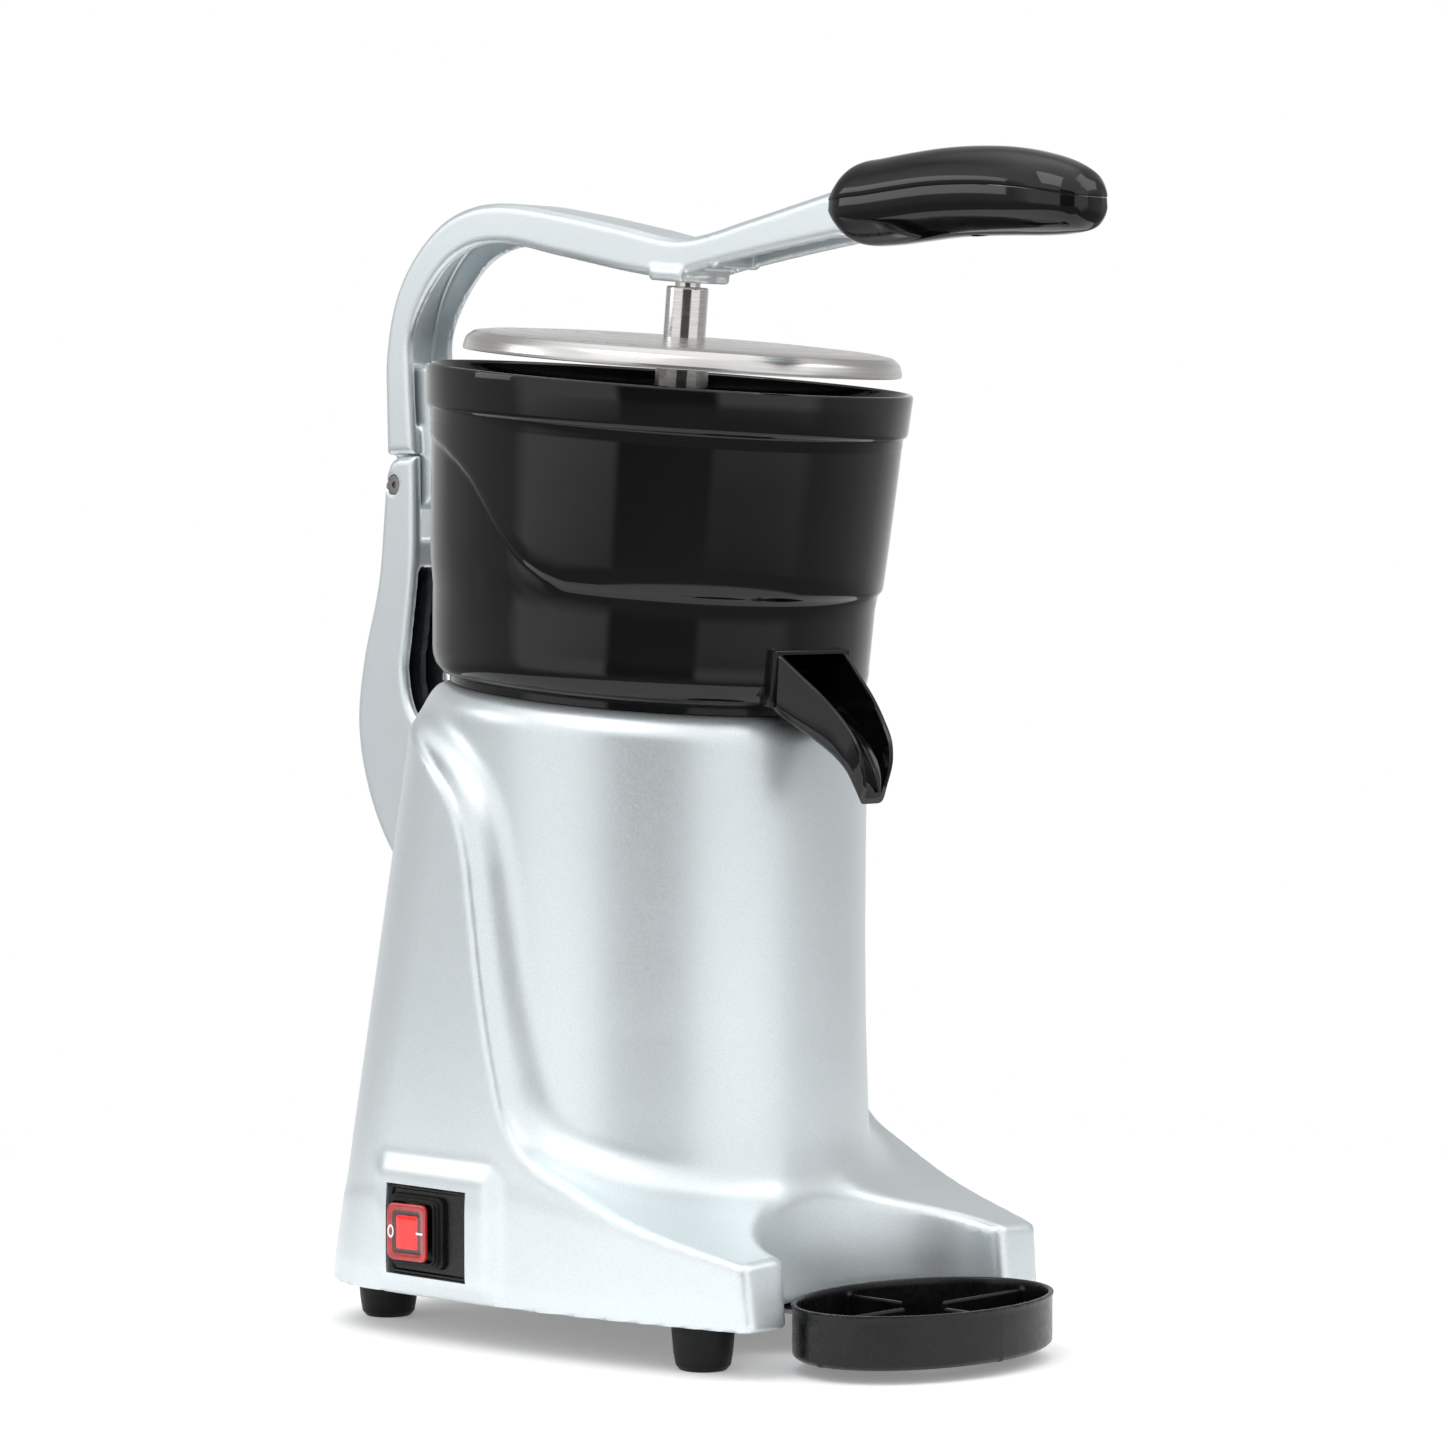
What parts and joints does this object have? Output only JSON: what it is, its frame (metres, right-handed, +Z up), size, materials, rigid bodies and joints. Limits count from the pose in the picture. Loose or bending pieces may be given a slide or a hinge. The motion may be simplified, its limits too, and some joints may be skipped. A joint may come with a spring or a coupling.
{
  "type": "citrus press juicer",
  "caption": "Lever citrus press: motor housing with a spout bowl and reamer, a steel lid and press cup on a hinged cast arm, a rocker switch and a drip tray.",
  "frame": {"origin": "on the table under the middle of the machine's width and depth", "axes": "+Z up, -Y to the front where the spout, the tray and the grip are, -X to the side with the switch"},
  "size_m": [0.2089, 0.3868, 0.4546],
  "materials": {
    "silver_paint": "cast aluminium under a satin metallic silver paint with a fine sparkle",
    "black_gloss_plastic": "gloss moulded",
    "black_satin_plastic": "satin moulded",
    "black_rubber": "matt moulded",
    "brushed_steel": "brushed stainless",
    "dark_steel": "zinc-plated, dull",
    "cast_aluminium": "cast and turned, satin",
    "copper_winding": "varnished copper wire",
    "red_lens": "translucent red, polished",
    "white_plastic": "satin moulded"
  },
  "bodies": {
    "frame": {"housing": "silver_paint", "base_plate": "dark_steel", "foot_fl": "black_rubber", "foot_fr": "black_rubber", "foot_rl": "black_rubber", "foot_rr": "black_rubber", "foot_screw_fl": "dark_steel", "foot_screw_fr": "dark_steel", "foot_screw_rl": "dark_steel", "foot_screw_rr": "dark_steel", "tray_bracket": "dark_steel", "bracket_screw_left": "dark_steel", "bracket_screw_right": "dark_steel", "rear_post": "silver_paint", "post_bolt_upper": "dark_steel", "post_bolt_lower": "dark_steel", "hinge_pin": "brushed_steel", "pin_screw_left": "dark_steel", "pin_screw_right": "dark_steel", "bowl": "black_gloss_plastic", "strainer": "black_satin_plastic", "motor_top_cover": "cast_aluminium", "motor_case": "dark_steel", "motor_bottom_cover": "cast_aluminium", "stator_core": "dark_steel", "winding_upper": "copper_winding", "winding_lower": "copper_winding", "bearing_upper": "brushed_steel", "bearing_lower": "brushed_steel", "motor_bolt_1": "dark_steel", "motor_bolt_2": "dark_steel", "motor_bolt_3": "dark_steel", "shaft_seal": "black_rubber", "capacitor": "white_plastic", "terminal_block": "white_plastic", "cable_gland": "black_rubber", "switch_body": "black_satin_plastic", "switch_bezel": "black_satin_plastic", "switch_boot": "black_rubber"},
    "lever": {"lever_arm": "silver_paint", "grip_upper": "black_gloss_plastic", "grip_lower": "black_gloss_plastic", "grip_screw": "dark_steel", "press_shaft": "brushed_steel", "lid_stop_ring": "brushed_steel", "press_cup": "cast_aluminium", "cup_nut": "brushed_steel"},
    "lid": {"splash_lid": "brushed_steel"},
    "spindle": {"drive_shaft": "brushed_steel", "rotor": "cast_aluminium", "cooling_fan": "white_plastic", "reamer_cone": "black_satin_plastic"},
    "rocker": {"rocker": "red_lens"},
    "tray": {"drip_tray": "black_satin_plastic"}
  },
  "joints": [
    {"name": "lever_hinge", "type": "hinge", "parent": "frame", "child": "lever", "pos_m": [0.0045, 0.1706, 0.3324], "axis": [-1, 0, 0], "range_deg": [0, 85]},
    {"name": "lid_slide", "type": "slide", "parent": "lever", "child": "lid", "axis": [0, -0.0981, 0.9952], "range_m": [0, 0.018]},
    {"name": "spindle_spin", "type": "hinge", "parent": "frame", "child": "spindle", "pos_m": [0.0045, 0.01543, 0.37239], "axis": [0, -0.0981, 0.9952], "continuous": true},
    {"name": "rocker_tilt", "type": "hinge", "parent": "frame", "child": "rocker", "pos_m": [-0.0949, 0.0575, 0.0436], "axis": [0, 0, -1], "range_deg": [0, 10]},
    {"name": "tray_slide", "type": "slide", "parent": "frame", "child": "tray", "axis": [0, -1, 0], "range_m": [0, 0.1]}
  ]
}
